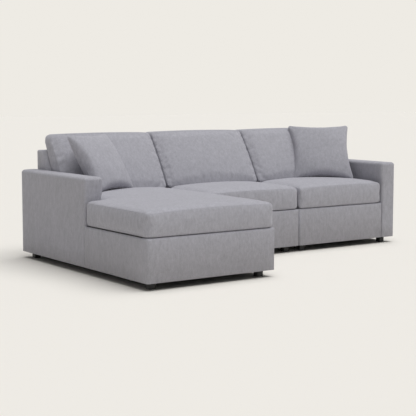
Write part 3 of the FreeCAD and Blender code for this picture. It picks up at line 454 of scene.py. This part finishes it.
# %% [markdown]
# ## Base covers
#
# Each base wears a fitted cover: a cloth skin with a little padding, pulled over the boards and
# open underneath. A block with rounded front edges gives the outside; the faces where the real
# cover is open are taken away, and a Solidify modifier gives the skin its thickness inwards. Cloth
# over boards lies flat, so a simulation would bring nothing here.

# %% Cutting, and the walls of a skin
SKIN = 0.008


def cut(block, axis, places):
    """Cuts a block with planes across an axis, so that it has points there."""
    across = Vector([1 if number == axis else 0 for number in range(3)])
    for place in places:
        everything = block.verts[:] + block.edges[:] + block.faces[:]
        bmesh.ops.bisect_plane(block, geom=everything, dist=1e-5, plane_co=across * place,
                               plane_no=across)


def skin_walls(piece):
    """Gives a skin the thickness of cloth and padding, inwards."""
    walls = piece.modifiers.new("cloth_and_padding", "SOLIDIFY")
    walls.thickness = SKIN
    walls.offset = -1
    walls.use_even_offset = True


print("skins are", SKIN * 1000, "mm thick")

# %% [markdown]
# The front panel turns over the top of the front board and ends on a narrow ledge, where the deck
# begins. The chaise's base has an ear that reaches out to the left in front of the arm.

# %% Base covers
FIT, LEDGE = 0.0003, 0.0703
LOW, BASE_TOP, BASE_EDGE = 0.045, 0.310, 0.016


def make_base_cover(module):
    """The cover of one base; the chaise's has an ear in front of the arm."""
    chaise = module == "chaise"
    low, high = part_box(f"{module}_base_cover")
    left, right, front, rear = low.x, high.x, low.y, high.y
    outline = [(left, front), (right, front), (right, rear), (left, rear)]
    inner_left, notch = left, front
    if chaise:
        arm_low, arm_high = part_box("left_arm_cover")
        inner_left, notch = arm_high.x + FIT, arm_low.y - FIT
        outline = outline[:3] + [(inner_left, rear), (inner_left, notch), (left, notch)]

    def soft_edge(a, b):
        """The front panel's edges, and the ear's outer top edge."""
        of_front = near(a.y, front) and near(b.y, front) and (
            near(a.x, b.x) or min(a.z, b.z) > BASE_TOP - 0.001)
        of_ear = chaise and near(a.x, left) and near(b.x, left) and min(a.z, b.z) > 0.3
        return of_front or of_ear

    def left_open(face):
        """Where the real cover has no cloth: below, behind, at the arms and over the deck."""
        middle, way = face.calc_center_median(), face.normal
        below = way.z < -0.9
        behind = way.y > 0.9 and near(middle.y, rear, 0.002)
        at_right_arm = module == "right" and way.x > 0.9
        at_left_arm = chaise and way.x < -0.9 and near(middle.x, inner_left, 0.002)
        at_notch = chaise and middle.y > notch - SKIN and middle.x < inner_left + SKIN
        deck = (way.z > 0.9 and middle.y > front + LEDGE
                and left + SKIN < middle.x < right - SKIN and not at_notch)
        return below or behind or at_right_arm or at_left_arm or deck

    block = raised([(x, y, LOW) for x, y in outline], (0, 0, 1), BASE_TOP - LOW)
    rounded(block, BASE_EDGE, soft_edge)
    cut(block, 1, [front + LEDGE, front + LEDGE + 0.001])
    cut(block, 0, [left + SKIN, right - SKIN, inner_left + SKIN])
    cut(block, 1, [notch - SKIN])
    gone = [face for face in block.faces if left_open(face)]
    bmesh.ops.delete(block, geom=gone, context="FACES")
    piece = sewn_piece(f"{module}_base_skin", block, cover_cloth, f"{module}_module",
                       [f"{module}_base_cover"])
    skin_walls(piece)
    return piece


for module in MODULES:
    print(make_base_cover(module).name, "made")

# %% [markdown]
# ## Arm covers
#
# The arms are crisp upright boxes with a softly rounded rim. The top is a little fuller in the
# middle, because there is wadding on the board, and so is the inner side above the seat. A few
# cuts give the box points there, which are then moved; a finer mesh would look no softer.

# %% Arm covers
SEAT_LEVEL = 0.468
ARM_EDGE, ARM_CROWN, ARM_FULLNESS = 0.020, 0.003, 0.007


def make_arm_cover(side, module):
    """The cover of one arm."""
    low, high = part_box(f"{side}_arm_cover")
    outline = [(low.x, low.y), (high.x, low.y), (high.x, high.y), (low.x, high.y)]
    block = raised([(x, y, LOW) for x, y in outline], (0, 0, 1), high.z - LOW)
    rounded(block, ARM_EDGE, lambda a, b: level_at(a, b, high.z) or upright(a, b), 6)
    cut(block, 0, [low.x + share * (high.x - low.x) for share in (0.3, 0.5, 0.7)])
    cut(block, 1, [low.y + share * (high.y - low.y) for share in (0.1, 0.25, 0.5, 0.75, 0.9)])
    cut(block, 2, [LOW + 0.1, LOW + 0.28, SEAT_LEVEL + 0.02, SEAT_LEVEL + 0.05, LOW + 0.51])
    underside = [face for face in block.faces if face.normal.z < -0.9]
    bmesh.ops.delete(block, geom=underside, context="FACES")
    inner = 1 if side == "left" else -1
    for point in block.verts:
        across = 2 * (point.co.x - low.x) / (high.x - low.x) - 1
        if point.co.z > high.z - 0.001:
            point.co.z += ARM_CROWN * (1 - across ** 2)
        above_seat = point.co.z > SEAT_LEVEL + 0.03 and point.co.y < high.y - 0.4
        if above_seat and across * inner > 0.6:
            point.co.x += ARM_FULLNESS * inner
    piece = sewn_piece(f"{side}_arm_skin", block, cover_cloth, f"{module}_module",
                       [f"{side}_arm_cover"])
    skin_walls(piece)
    return piece


for side, module in (("left", "chaise"), ("right", "right")):
    print(make_arm_cover(side, module).name, "made")

# %% [markdown]
# ## Back covers
#
# The back frame slopes inside and is upright outside. Its cover is raised from the side view of the
# back, with the outside panel that hangs down behind the base, and is open where it meets the base.
# Seen from the side the back is one simple outline, so this is the shortest way to it.

# %% Back covers
REAR, SLOPE, FOOT_DEPTH, BACK_EDGE = 0.835, 0.4965, 0.280, 0.012


def lean(z):
    """The Y of the sloping inside back at a height."""
    return REAR - FOOT_DEPTH + (z - SEAT_LEVEL) * SLOPE


def make_back_cover(module):
    """The cover of one back frame."""
    low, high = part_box(f"{module}_back_cover")
    side_view = [(lean(SEAT_LEVEL), BASE_TOP), (REAR - SKIN, BASE_TOP), (REAR - SKIN, LOW),
                 (REAR, LOW), (REAR, high.z), (lean(high.z), high.z),
                 (lean(SEAT_LEVEL), SEAT_LEVEL)]
    block = raised([(low.x, y, z) for y, z in side_view], (1, 0, 0), high.x - low.x)
    rounded(block, BACK_EDGE, lambda a, b: level_at(a, b, high.z)
            or (level_at(a, b, SEAT_LEVEL) and not near(a.x, b.x)))
    gone = [face for face in block.faces
            if face.normal.z < -0.9
            or (face.normal.y < -0.9 and face.calc_center_median().z < 0.3)]
    bmesh.ops.delete(block, geom=gone, context="FACES")
    piece = sewn_piece(f"{module}_back_skin", block, cover_cloth, f"{module}_module",
                       [f"{module}_back_cover"])
    skin_walls(piece)
    return piece


for module in MODULES:
    print(make_back_cover(module).name, "made")

# %% [markdown]
# ## Stuffing a cushion
#
# A cushion is a sewn bag whose panels swell between its seams. The rough block is remeshed into
# even small squares, as cloth has, and shaped into its resting form by a formula. Long thin faces
# would fold along their own edges, and even squares have no such favourite direction.

# %% Even squares
VOXEL = 0.010


def remeshed(block):
    """The block as an even mesh of small squares."""
    data = bpy.data.meshes.new("rough_bag")
    block.to_mesh(data)
    block.free()
    carrier = bpy.data.objects.new("rough_bag", data)
    bpy.context.scene.collection.objects.link(carrier)
    weave = carrier.modifiers.new("squares", "REMESH")
    weave.mode = "VOXEL"
    weave.voxel_size = VOXEL
    even = bpy.data.meshes.new_from_object(
        carrier.evaluated_get(bpy.context.evaluated_depsgraph_get()))
    bpy.data.objects.remove(carrier)
    return even


def eased(data, rounds=2):
    """Evens out the squares' stepping without taking the form away."""
    soft = bmesh.new()
    soft.from_mesh(data)
    for _ in range(rounds):
        bmesh.ops.smooth_vert(soft, verts=soft.verts, factor=0.5, use_axis_x=True,
                              use_axis_y=True, use_axis_z=True)
    soft.to_mesh(data)
    soft.free()


def finer(piece):
    """One subdivision, the same for view and render."""
    finer_squares = piece.modifiers.new("finer_cloth", "SUBSURF")
    finer_squares.levels = finer_squares.render_levels = 1


print("squares of", VOXEL, "m")

# %% [markdown]
# The shaped bag is then blown up a little with Blender's cloth simulation while its seams are
# held: that gives the fullness and the small puckers beside the seams that no formula gives. A
# point may move only so far, so the bag stays in its place. There is no gravity in it, because the
# form is the resting one already, and the result is written into the mesh.

# %% Stuffing with the cloth simulation
def stuffed(data, held, pressure, most, slack, frames=20):
    """Blows a bag up with its held points fixed; no point moves farther than the most given."""
    before = [point.co.copy() for point in data.vertices]
    carrier = bpy.data.objects.new("bag_in_work", data)
    bpy.context.scene.collection.objects.link(carrier)
    group = carrier.vertex_groups.new(name="held")
    for index in held:
        group.add([index], 1.0, "REPLACE")
    bag = carrier.modifiers.new("stuffing", "CLOTH")
    settings = bag.settings
    settings.quality = 4
    settings.mass = 0.3
    settings.tension_stiffness = settings.compression_stiffness = 12
    settings.shear_stiffness = 6
    settings.bending_stiffness = 0.8
    settings.use_pressure = True
    settings.uniform_pressure_force = pressure
    settings.shrink_min = settings.shrink_max = -slack
    settings.vertex_group_mass = "held"
    settings.effector_weights.gravity = 0
    bag.collision_settings.use_collision = False
    bag.point_cache.frame_start, bag.point_cache.frame_end = 1, frames
    for number in range(1, frames + 1):
        bpy.context.scene.frame_set(number)
    blown = carrier.evaluated_get(bpy.context.evaluated_depsgraph_get()).to_mesh()
    farthest = 0.0
    for point, start, end in zip(data.vertices, before, blown.vertices):
        move = end.co - start
        if move.length > most:
            move *= most / move.length
        farthest = max(farthest, move.length)
        point.co = start + move
    bpy.context.scene.frame_set(1)
    bpy.data.objects.remove(carrier)
    return farthest


def report(piece, moved):
    """Says what a stuffed piece came to."""
    print(piece.name, len(piece.data.vertices), "points, moved at most",
          round(moved * 1000, 1), "mm")


print("simulation", "used")

# %% [markdown]
# ## Seams
#
# Where two panels are sewn together the cloth turns in and leaves a fine ridge. It could be drawn
# on as a line, but it would have no edge to catch the light. Each seam is a thin cord laid on the
# finished bag: its line is pressed onto the surface point by point, so it follows every swell, and
# half of it sinks in.

# %% Seam lines
STITCH = 0.008
CUSHION_SEAM, PILLOW_SEAM = 0.0011, 0.0016


def walked(line, step):
    """Points at even steps along a closed line."""
    points = []
    for start, stop in zip(line, line[1:] + line[:1]):
        count = max(1, round((stop - start).length / step))
        points += [start.lerp(stop, number / count) for number in range(count)]
    return points


def seam(name, piece, line, radius, body):
    """A fine ridge along a closed line, pressed onto a piece's surface."""
    tree = BVHTree.FromObject(piece, bpy.context.evaluated_depsgraph_get())
    laid = [tree.find_nearest(point)[0] for point in walked(line, STITCH)]
    for _ in range(3):
        laid = [(laid[number - 1] + 2 * spot + laid[(number + 1) % len(laid)]) / 4
                for number, spot in enumerate(laid)]
    curve = bpy.data.curves.new(name, "CURVE")
    curve.dimensions = "3D"
    curve.bevel_depth = radius
    curve.bevel_resolution = 1
    spline = curve.splines.new("POLY")
    spline.points.add(len(laid) - 1)
    for spot, place in zip(spline.points, laid):
        spot.co = (*place, 1)
    spline.use_cyclic_u = True
    carrier = bpy.data.objects.new(name, curve)
    bpy.context.scene.collection.objects.link(carrier)
    ridge = bpy.data.meshes.new_from_object(
        carrier.evaluated_get(bpy.context.evaluated_depsgraph_get()))
    bpy.data.objects.remove(carrier)
    # The ridge wears the paler seam cloth, a painted highlight on top of the light it catches.
    return sewn_piece(name, ridge, seam_highlight_cloth, body)


print("seams of", CUSHION_SEAM * 1000, "and", PILLOW_SEAM * 1000, "mm radius")

# %% [markdown]
# ## Seat cushions
#
# A seat cushion is a foam block in wadding and cloth: a boxed bag with a soft top edge. Seen from
# above it is a plain oblong, and the chaise's is one bag in the shape of an L, with an ear that
# reaches out in front of the arm. The block is raised from that view and its edges are rounded.

# %% The seat cushion's block
SEAT_TOP = SEAT_LEVEL + 0.002
SEAT_CORNER, SEAT_TOP_EDGE, SEAT_BOTTOM_EDGE = 0.034, 0.028, 0.018


def seat_plan(module):
    """A seat cushion's outline from above, and where its full depth begins on the left."""
    low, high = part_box(f"{module}_seat_cushion")
    outline = [(low.x, low.y), (high.x, low.y), (high.x, high.y), (low.x, high.y)]
    if module != "chaise":
        return outline, low.x
    arm_low, arm_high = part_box("left_arm_cover")
    wide_left, notch = arm_high.x + 0.0022, arm_low.y - 0.002
    return outline[:3] + [(wide_left, high.y), (wide_left, notch), (low.x, notch)], wide_left


def seat_block(outline, wide_left, bottom):
    """The plain cushion with its edges rounded."""
    rear = outline[2][1]
    block = raised([(x, y, bottom) for x, y in outline], (0, 0, 1), SEAT_TOP - bottom)
    rounded(block, SEAT_CORNER, lambda a, b: upright(a, b) and (
        not near(a.x, wide_left, 0.001) or near(a.y, rear, 0.001)), 6)
    rounded(block, SEAT_TOP_EDGE, lambda a, b: level_at(a, b, SEAT_TOP), 6)
    rounded(block, SEAT_BOTTOM_EDGE, lambda a, b: level_at(a, b, bottom))
    return block


print("the chaise's seat has", len(seat_plan("chaise")[0]), "corners, the others four")

# %% [markdown]
# At rest the top is crowned, fullest in the middle, and the sides are drawn in a little between the
# corners. Moving every point by a smooth rule keeps the top in one even swell over the whole L.

# %% The seat cushion's resting form
SEAT_RISE, SEAT_CROWN, SEAT_DRAW, EAR_DROP = 0.005, 0.010, 0.003, 0.004


def crown(share):
    """0 at both ends, 1 in the middle."""
    return 1 - (2 * share - 1) ** 2


def seat_form(place, low, high, wide_left):
    """A point of the plain block moved to the resting cushion."""
    x, y, z = place
    along = (y - low.y) / (high.y - low.y)
    across = min(1.0, max(0.0, (x - wide_left) / (high.x - wide_left)))
    height = (z - low.z) / (SEAT_TOP - low.z)
    lift = SEAT_RISE * crown(along) + SEAT_CROWN * crown(across) * (1 + crown(along)) - 0.002
    if x < wide_left:
        lift -= EAR_DROP * min(1.0, (wide_left - x) / 0.05)
    if x > wide_left:
        inward = 1 if x < (wide_left + high.x) / 2 else -1
        x += inward * SEAT_DRAW * crown(along)
    return Vector((x, y, z + lift * height ** 2))


print("the top rises by up to", round(1000 * (SEAT_RISE + 2 * SEAT_CROWN - 0.002)), "mm")

# %% [markdown]
# The rims, where top and bottom panel are sewn to the border, and the underside are held while the
# bag is stuffed. Foam is firm, so the pressure is low and no point moves more than 7 mm. A seam is
# laid round each rim.

# %% Seat cushions
def off_the_line(point, line):
    """How far a point is from a closed line of points."""
    best = math.inf
    for start, stop in zip(line, line[1:] + line[:1]):
        run = stop - start
        share = max(0.0, min(1.0, (point - start).dot(run) / run.length_squared))
        best = min(best, (start + run * share - point).length)
    return best


def make_seat_cushion(module):
    """One seat cushion and how far its stuffing moved it."""
    low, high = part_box(f"{module}_seat_cushion")
    outline, wide_left = seat_plan(module)
    data = remeshed(seat_block(outline, wide_left, low.z))
    rims = {"top": [Vector((x, y, SEAT_TOP)) for x, y in outline],
            "bottom": [Vector((x, y, low.z)) for x, y in outline]}
    held = [point.index for point in data.vertices
            if point.co.z < low.z + 0.004
            or off_the_line(point.co, rims["top"]) < 0.0155
            or off_the_line(point.co, rims["bottom"]) < 0.0125]
    for point in data.vertices:
        point.co = seat_form(point.co, low, high, wide_left)
    moved = stuffed(data, held, 2.5, 0.007, slack=0.008)
    eased(data)
    piece = sewn_piece(f"{module}_seat_bag", data, cushion_cloth, f"{module}_seat",
                       [f"{module}_seat_cushion"])
    finer(piece)
    for key, drop in (("top", -0.006), ("bottom", 0.012)):
        line = [seat_form(spot + Vector((0, 0, drop)), low, high, wide_left)
                for spot in walked(rims[key], 0.03)]
        seam(f"{module}_seat_{key}_seam", piece, line, CUSHION_SEAM, f"{module}_seat")
    return piece, moved


for module in MODULES:
    report(*make_seat_cushion(module))

# %% [markdown]
# ## Back cushions
#
# A back cushion is a fibre-filled boxed bag that leans on the sloping back, thicker at the bottom
# than at the top. The block starts from its side view, raised across the seat. An end that no other
# cushion presses on is rounder than one that does.

# %% The back cushion's block
THICK_LOW, THICK_HIGH = 0.178, 0.132
FREE_CORNER, SHARED_CORNER = 0.050, 0.026


def free_half(module, across):
    """Whether this half ends at the sofa's end, where no cushion is beside it."""
    return module != "middle" and (across < 0.5) == (module == "chaise")


def back_view(bottom, top):
    """The side view of a back cushion: rear foot, front foot, front head, rear head."""
    rear_low, rear_high = lean(bottom) - 0.001, lean(top) - 0.001
    return [(rear_low, bottom), (rear_low - THICK_LOW, bottom),
            (rear_high - THICK_HIGH, top), (rear_high, top)]


def back_block(module, left, right, bottom, top):
    """The plain cushion with its edges rounded."""
    block = raised([(left, y, z) for y, z in back_view(bottom, top)], (1, 0, 0), right - left)
    for end, across in ((left, 0), (right, 1)):
        radius = FREE_CORNER if free_half(module, across) else SHARED_CORNER
        rounded(block, radius, lambda a, b:
                near(a.x, end) and near(b.x, end) and min(a.z, b.z) > top - 0.001, 6)
    rounded(block, 0.020, lambda a, b: near(a.x, b.x) and max(a.z, b.z) < bottom + 0.001, 4)
    for radius, level in ((0.060, bottom), (0.030, top)):
        rounded(block, radius, lambda a, b: max(a.y - lean(a.z), b.y - lean(b.z)) < -0.09
                and level_at(a, b, level, 0.001), 6)
    return block


print("a back cushion is", THICK_LOW, "m thick below and", THICK_HIGH, "m above")

# %% [markdown]
# At rest it is full in the middle of its front and falls back towards its ends, where small tucks
# gather the front panel onto the side. The tucks are shallow dents at uneven heights, because the
# cloth is gathered by hand and never evenly.

# %% The back cushion's resting form
TUCKS = (0.17, 0.33, 0.46, 0.61, 0.74, 0.88)
BACK_FULLNESS, BACK_RISE, TOP_CROWN = 0.022, 0.009, 0.003
FREE_RECESS, SHARED_RECESS = 0.040, 0.026


def back_form(place, module, left, right, bottom, top):
    """A point of the plain block moved to the resting cushion."""
    x, y, z = place
    across = (x - left) / (right - left)
    height = min(1.0, max(0.0, (z - bottom) / (top - bottom)))
    thick = THICK_LOW + (THICK_HIGH - THICK_LOW) * height
    forward = min(1.0, max(0.0, (lean(z) - y) / thick))
    end = 1 - crown(across)
    recess = FREE_RECESS if free_half(module, across) else SHARED_RECESS
    full = BACK_FULLNESS * (0.6 + 0.4 * crown(across)) * crown(height)
    y += forward * (recess * end - full)
    z += BACK_RISE * crown(across) * (1 - height) + TOP_CROWN * height * (crown(across) - end)
    for reach in (x - left, right - x):
        for number, tuck in enumerate(TUCKS):
            close = math.exp(-((height - tuck) / 0.022) ** 2 - (reach / 0.05) ** 2)
            y += forward * (0.0045 + 0.0015 * (number % 2)) * close
    return Vector((x, y, z))


print(len(TUCKS), "tucks at each end")

# %% [markdown]
# The seams, the side that lies on the back and the top panel are held while the bag is stuffed.
# Fibre is softer than foam, so this bag is blown up more than the seats', by at most 12 mm. The
# middle of the front is the part that swells.

# %% Back cushions
def make_back_cushion(module):
    """One back cushion and how far its stuffing moved it."""
    low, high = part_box(f"{module}_back_cushion")
    left, right, bottom, top = low.x, high.x, low.z, high.z - 0.003
    rear_foot, front_foot, front_head, rear_head = back_view(bottom, top)
    rims = {}
    for key, foot, head in (("front", front_foot, front_head), ("rear", rear_foot, rear_head)):
        rims[key] = [Vector((x, *spot))
                     for x, spot in ((left, foot), (right, foot), (right, head), (left, head))]
    data = remeshed(back_block(module, left, right, bottom, top))
    held = [point.index for point in data.vertices
            if point.co.y > lean(point.co.z) - 0.006 or point.co.z > top - 0.003
            or off_the_line(point.co, rims["front"]) < 0.014
            or off_the_line(point.co, rims["rear"]) < 0.014]
    for point in data.vertices:
        point.co = back_form(point.co, module, left, right, bottom, top)
    moved = stuffed(data, held, 3.5, 0.012, slack=0.025)
    eased(data)
    piece = sewn_piece(f"{module}_back_bag", data, cushion_cloth, f"{module}_back",
                       [f"{module}_back_cushion"])
    finer(piece)
    for key, rim in rims.items():
        line = [back_form(spot, module, left, right, bottom, top) for spot in walked(rim, 0.03)]
        seam(f"{module}_back_{key}_seam", piece, line, CUSHION_SEAM, f"{module}_back")
    return piece, moved


for module in MODULES:
    report(*make_back_cushion(module))

# %% [markdown]
# ## Pillows
#
# A knife-edge pillow is two square panels sewn face to face round their edges and stuffed: full in
# the middle, its sides drawn in, its corners left over as flat rounded ears. It is made as it is
# sewn: two flat panels, nearly touching at the edge, which the simulation then fills.

# %% Two panels sewn together
PILLOW_HALF, EAR = 0.233, 0.89


def sewn_square():
    """Two square panels, sewn face to face and already a little full, lying flat."""
    sheet = bmesh.new()
    bmesh.ops.create_cube(sheet, size=2)
    flat = [edge for edge in sheet.edges if near(edge.verts[0].co.z, edge.verts[1].co.z)]
    bmesh.ops.subdivide_edges(sheet, edges=flat, cuts=51, use_grid_fill=True)
    draw = 0.04
    for point in sheet.verts:
        u, v, face = point.co
        full = 0.045 * ((1 - abs(u) ** 2.4) * (1 - abs(v) ** 2.4)) ** 0.62
        wide, high = u * (1 - draw * (1 - v ** 2)), v * (1 - draw * (1 - u ** 2))
        over = Vector((max(0, abs(u) - EAR), max(0, abs(v) - EAR)))
        if over.x and over.y:
            over *= max(over) / over.length
            wide, high = math.copysign(EAR + over.x, u), math.copysign(EAR + over.y, v)
        point.co = (wide * PILLOW_HALF, high * PILLOW_HALF, face * (0.003 + full))
    data = bpy.data.meshes.new("sewn_square")
    sheet.to_mesh(data)
    sheet.free()
    return data


print("panels of", 2 * PILLOW_HALF, "m")

# %% [markdown]
# Nothing is held, so the edges are free to draw in as the panels fill, which is what gives the
# ears. The filled pillow is brought to its measured size, stood on the seat, leaned back and turned
# towards the sofa's end.

# %% Pillows
PILLOW_FULL, PILLOW_LEAN = 0.142, 32
PILLOWS = {
    "left": (26, "left_loose_pillow", 0.97, Vector((0.008, 0, -0.006))),
    "right": (-30, "right_loose_pillow", 1.03, Vector((0.016, -0.004, 0))),
}


def make_pillow(side):
    """One pillow and how far its stuffing moved it."""
    turn, body, size, shift = PILLOWS[side]
    low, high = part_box(f"{side}_pillow")
    data = sewn_square()
    moved = stuffed(data, [], 4.0, 0.2, slack=0.035, frames=9)
    widest = max(abs(point.co.x) for point in data.vertices)
    fullest = max(point.co.z for point in data.vertices)
    reach = size * PILLOW_HALF
    fit = Matrix.Diagonal((reach / widest, reach / widest, PILLOW_FULL / 2 / fullest, 1))
    stand = (Matrix.Translation((low + high) / 2 + shift)
             @ Matrix.Rotation(math.radians(turn), 4, "Z")
             @ Matrix.Rotation(math.radians(90 - PILLOW_LEAN), 4, "X"))
    data.transform(stand @ fit)
    piece = sewn_piece(f"{side}_pillow_bag", data, pillow_cloth, body,
                       [f"{side}_pillow"])
    finer(piece)
    corners = [stand @ Vector((reach * u, reach * v, 0))
               for u, v in ((-1, -1), (1, -1), (1, 1), (-1, 1))]
    seam(f"{side}_pillow_seam", piece, corners, PILLOW_SEAM, body)
    return piece, moved


for side in PILLOWS:
    report(*make_pillow(side))
